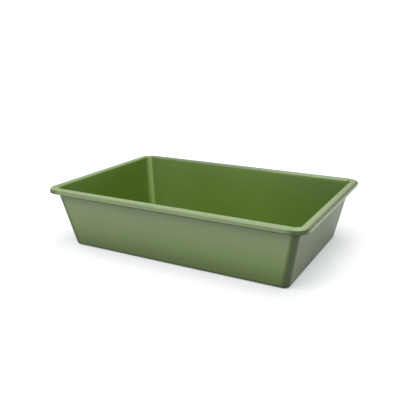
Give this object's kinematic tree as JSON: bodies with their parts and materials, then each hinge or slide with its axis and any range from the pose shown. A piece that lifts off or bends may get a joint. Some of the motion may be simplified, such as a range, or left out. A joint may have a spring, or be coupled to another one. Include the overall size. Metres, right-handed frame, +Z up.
{
  "type": "gold pan",
  "caption": "Rectangular green plastic panning tub, open and tapered, with a flat rim flange and a turned-down skirt to lift it by.",
  "frame": {"origin": "middle of the tub's flat underside, on the surface it stands on", "axes": "+X along the tub's length to the right, +Y across it to the rear, +Z up out of its open top"},
  "size_m": [0.46, 0.3166, 0.1055],
  "materials": {
    "green_plastic": "satin moulded polypropylene, one olive green throughout"
  },
  "bodies": {
    "root": {"floor_panel": "green_plastic", "front_wall": "green_plastic", "rear_wall": "green_plastic", "left_wall": "green_plastic", "right_wall": "green_plastic", "front_left_corner": "green_plastic", "front_right_corner": "green_plastic", "rear_left_corner": "green_plastic", "rear_right_corner": "green_plastic", "front_flange": "green_plastic", "rear_flange": "green_plastic", "left_flange": "green_plastic", "right_flange": "green_plastic", "front_left_flange_corner": "green_plastic", "front_right_flange_corner": "green_plastic", "rear_left_flange_corner": "green_plastic", "rear_right_flange_corner": "green_plastic", "front_skirt": "green_plastic", "rear_skirt": "green_plastic", "left_skirt": "green_plastic", "right_skirt": "green_plastic", "front_left_skirt_corner": "green_plastic", "front_right_skirt_corner": "green_plastic", "rear_left_skirt_corner": "green_plastic", "rear_right_skirt_corner": "green_plastic"}
  },
  "joints": []
}
